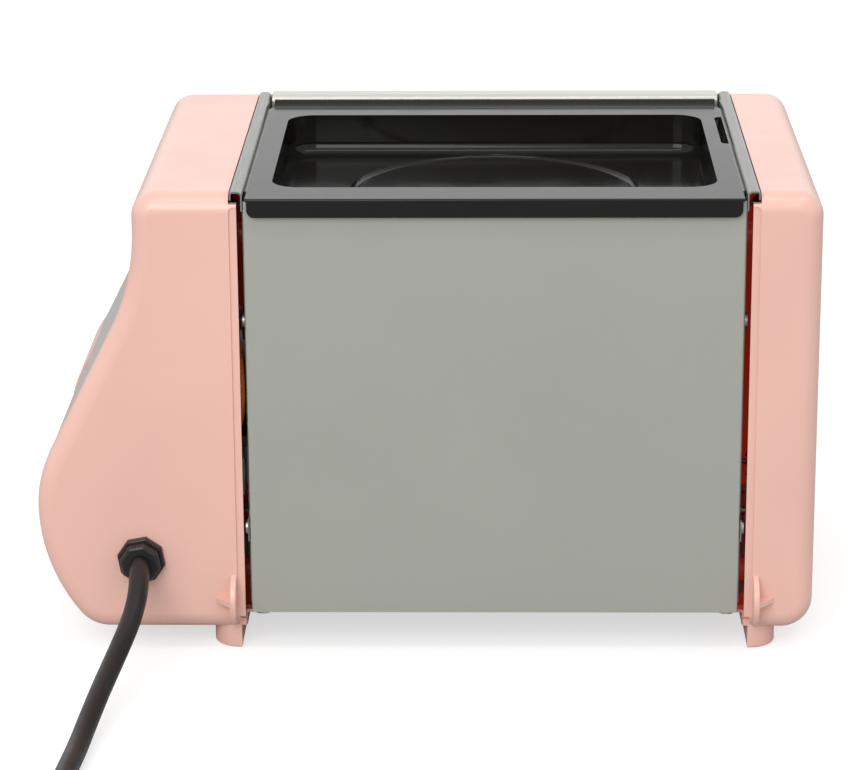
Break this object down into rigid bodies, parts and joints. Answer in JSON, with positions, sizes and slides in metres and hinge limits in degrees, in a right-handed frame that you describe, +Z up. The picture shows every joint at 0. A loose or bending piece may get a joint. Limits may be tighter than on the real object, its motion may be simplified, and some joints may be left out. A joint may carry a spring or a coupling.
{
  "type": "mini toaster oven with griddle",
  "caption": "Compact toaster oven with a griddle pan on top, bottom-hinged glass door, slide-out wire rack and crumb tray, clockwork timer dial and mains cord.",
  "frame": {"origin": "middle of the appliance's footprint on the table, cord left out", "axes": "front faces -Y, the control side is at +X, +Z is up"},
  "size_m": [0.2766, 0.4278, 0.169],
  "materials": {
    "pink_plastic": "satin, fine moulded texture",
    "silver_plastic": "satin silver lacquer",
    "grey_sheet": "satin grey-green coated sheet",
    "steel_rail": "brushed",
    "black_nonstick": "glossy non-stick coating",
    "black_plastic": "matt",
    "black_rubber": "matt flexible jacket",
    "chrome_wire": "bright",
    "steel_screw": "zinc plated",
    "ceramic": "glazed white ceramic",
    "quartz": "frosted quartz",
    "door_glass": "clear tempered",
    "black_enamel": "satin black enamel",
    "orange_sleeve": "braided heat-proof sleeve",
    "white_pointer": "silver print",
    "lamp_red": "clear orange-red",
    "brass": "plain"
  },
  "bodies": {
    "oven": {"control_housing": "pink_plastic", "left_housing": "pink_plastic", "control_fascia": "silver_plastic", "dial_boss": "pink_plastic", "dial_ring": "silver_plastic", "timer_body": "steel_screw", "timer_bell": "chrome_wire", "timer_screws": "steel_screw", "indicator_lens": "lamp_red", "indicator_lamp": "lamp_red", "right_side_wall": "steel_rail", "left_side_wall": "steel_rail", "rear_panel": "grey_sheet", "bottom_plate": "grey_sheet", "front_frame": "steel_rail", "pan_ledges": "steel_rail", "upper_heating_tubes": "quartz", "lower_heating_tubes": "quartz", "heater_insulators": "ceramic", "heater_terminals": "steel_screw", "heat_reflector": "steel_rail", "rack_runners": "steel_rail", "hinge_pins": "steel_screw", "hinge_brackets": "steel_screw", "hinge_screws": "steel_screw", "foot_screws": "steel_screw", "housing_screws": "steel_screw", "body_rivets": "steel_screw", "terminal_block": "ceramic", "block_bracket": "steel_screw", "terminal_screws": "brass", "thermal_cutout": "ceramic", "upper_heater_leads": "orange_sleeve", "lower_heater_leads": "orange_sleeve", "left_link_lead": "orange_sleeve", "mains_cores": "black_rubber", "cord_gland": "black_plastic", "cord_tail": "black_rubber", "power_cord": "black_rubber", "cord_coil": "black_rubber", "plug": "black_plastic", "plug_pins": "brass", "cord_tie": "black_plastic"},
    "door": {"door_frame": "black_enamel", "door_glass": "door_glass", "glass_clips": "steel_screw", "door_handle": "pink_plastic", "handle_screws": "steel_screw"},
    "rack": {"wire_rack": "chrome_wire"},
    "crumb_drawer": {"crumb_tray": "steel_rail"},
    "griddle": {"griddle_pan": "black_nonstick"},
    "timer_dial": {"timer_knob": "pink_plastic", "timer_pointer": "white_pointer", "timer_shaft": "steel_screw"}
  },
  "joints": [
    {"name": "door_hinge", "type": "hinge", "parent": "oven", "child": "door", "pos_m": [-0.0247, -0.0766, 0.027], "axis": [1, 0, 0], "range_deg": [0, 90]},
    {"name": "rack_slide", "type": "slide", "parent": "oven", "child": "rack", "axis": [0, -1, 0], "range_m": [0, 0.063]},
    {"name": "crumb_tray_slide", "type": "slide", "parent": "oven", "child": "crumb_drawer", "axis": [0, -1, 0], "range_m": [0, 0.1]},
    {"name": "griddle_lift", "type": "slide", "parent": "oven", "child": "griddle", "axis": [0, 0, 1], "range_m": [0, 0.06]},
    {"name": "timer_turn", "type": "hinge", "parent": "oven", "child": "timer_dial", "pos_m": [0.1015, -0.0764, 0.054], "axis": [0, 1, 0], "range_deg": [0, 300]}
  ],
  "couplings": [
    {"joint": "rack_slide", "follows": "door_hinge", "m_per_rad": 0.04}
  ]
}
